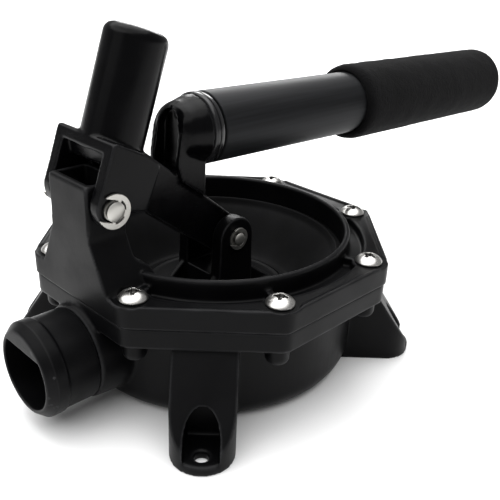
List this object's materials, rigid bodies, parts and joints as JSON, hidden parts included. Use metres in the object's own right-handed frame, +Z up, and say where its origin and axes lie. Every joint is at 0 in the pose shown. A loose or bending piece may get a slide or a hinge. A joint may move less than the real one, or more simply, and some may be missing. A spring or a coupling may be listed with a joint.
{
  "type": "manual diaphragm bilge pump",
  "caption": "Round hand-operated diaphragm bilge pump on four feet, with opposed hose tails, a pivoting lever and a removable padded handle.",
  "frame": {"origin": "on the surface the feet stand on, under the middle of the object's length and width", "axes": "+X from the chamber towards the handle grip, +Z up, lever works in the XZ plane"},
  "size_m": [0.336, 0.156, 0.1603],
  "materials": {
    "moulded_black": "fine moulded texture, satin",
    "lever_black": "smooth moulded, half gloss",
    "collar_black": "gloss",
    "black_rubber": "matte",
    "tube_black": "black anodised, satin",
    "grip_foam": "matte cellular foam",
    "stainless": "polished stainless"
  },
  "bodies": {
    "base": {"chamber_body": "moulded_black", "clamp_ring": "moulded_black", "inlet_tail": "moulded_black", "outlet_tail": "moulded_black", "inlet_seal": "black_rubber", "outlet_seal": "black_rubber", "inlet_flap_bar": "moulded_black", "outlet_flap_bar": "moulded_black", "cover_screw_1": "stainless", "cover_screw_2": "stainless", "cover_screw_3": "stainless", "cover_screw_4": "stainless", "cover_screw_5": "stainless", "cover_screw_6": "stainless", "cover_screw_7": "stainless", "cover_screw_8": "stainless", "diaphragm": "black_rubber"},
    "lever": {"lever": "lever_black", "handle_collar": "collar_black", "pivot_pin": "stainless", "pivot_clip_near": "stainless", "pivot_clip_far": "stainless"},
    "handle": {"handle_tube": "tube_black", "handle_grip": "grip_foam"},
    "piston": {"upper_plate": "moulded_black", "lower_plate": "moulded_black", "plate_washer": "stainless", "plate_screw": "stainless", "rod_pin": "stainless", "rod_clip_near": "stainless", "rod_clip_far": "stainless"},
    "inlet_flap": {"inlet_flap": "black_rubber"},
    "outlet_flap": {"outlet_flap": "black_rubber"}
  },
  "joints": [
    {"name": "lever_pivot", "type": "hinge", "parent": "base", "child": "lever", "pos_m": [-0.1347, 0, 0.0951], "axis": [0, -1, 0], "range_deg": [-10, 18]},
    {"name": "handle_pull", "type": "slide", "parent": "lever", "child": "handle", "axis": [0.9996, 0, -0.029], "range_m": [0, 0.06]},
    {"name": "piston_lift", "type": "slide", "parent": "base", "child": "piston", "axis": [0.3624, 0, 0.932], "range_m": [-0.0136, 0.0245], "deforming": ["diaphragm"]},
    {"name": "inlet_flap_swing", "type": "hinge", "parent": "base", "child": "inlet_flap", "pos_m": [-0.1282, 0, 0.0343], "axis": [0, -1, 0], "range_deg": [0, 40]},
    {"name": "outlet_flap_swing", "type": "hinge", "parent": "base", "child": "outlet_flap", "pos_m": [0.0048, 0, 0.0343], "axis": [0, -1, 0], "range_deg": [0, 40]}
  ],
  "couplings": [
    {"joint": "piston_lift", "follows": "lever_pivot", "m_per_rad": 0.0775}
  ]
}
